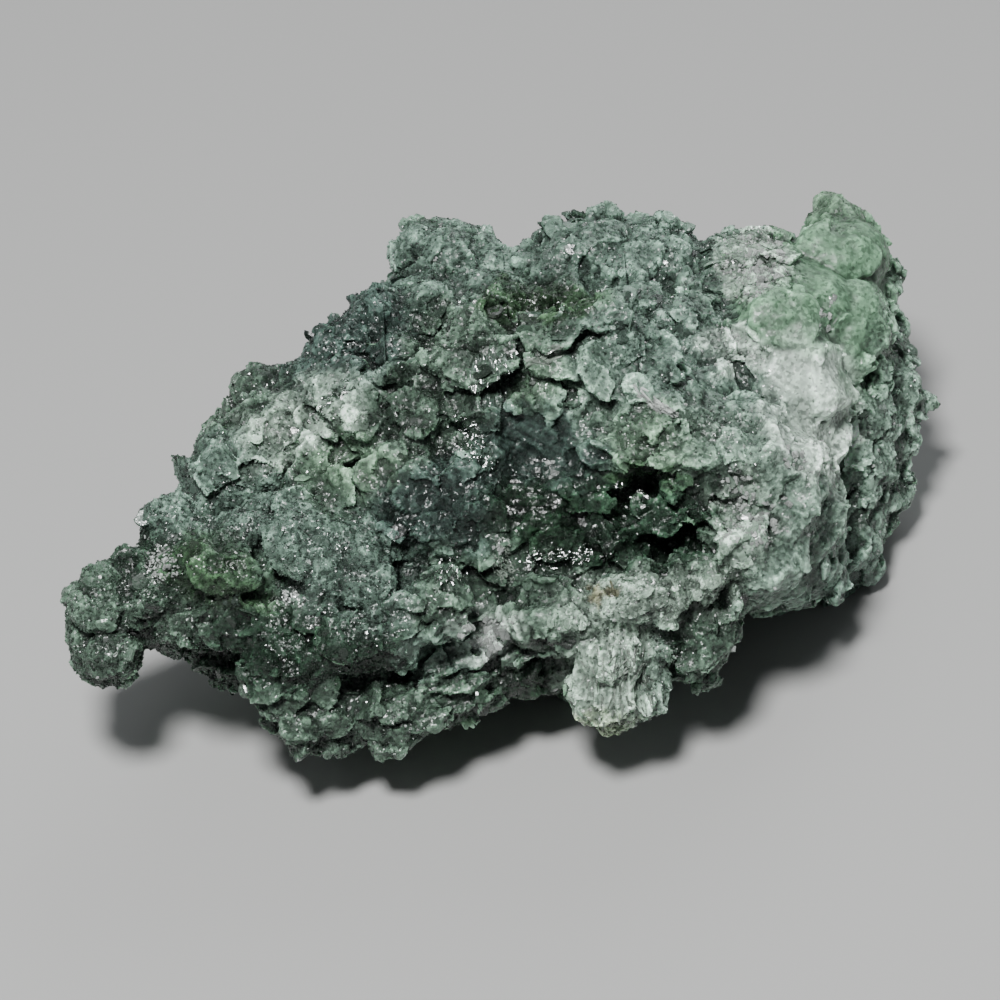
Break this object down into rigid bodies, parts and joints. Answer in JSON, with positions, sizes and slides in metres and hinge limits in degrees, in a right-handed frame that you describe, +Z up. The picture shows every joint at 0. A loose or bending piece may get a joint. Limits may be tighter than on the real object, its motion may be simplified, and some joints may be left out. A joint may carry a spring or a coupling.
{
  "type": "prehnite stone",
  "caption": "Rough green prehnite specimen: one fused mass of scaly crystal fans, sugary crust and smooth pale domes, with an overhanging knob and a small flat spot to rest on.",
  "frame": {"origin": "on the plane of the flat rest spot, under the middle of the stone's box", "axes": "+X along the stone's length towards the end with the smooth green domes, -Y towards the show side, +Z up"},
  "size_m": [0.0792, 0.054, 0.0391],
  "materials": {
    "prehnite": "rough, crystalline, slightly translucent green"
  },
  "bodies": {
    "root": {"prehnite_stone": "prehnite"}
  },
  "joints": []
}
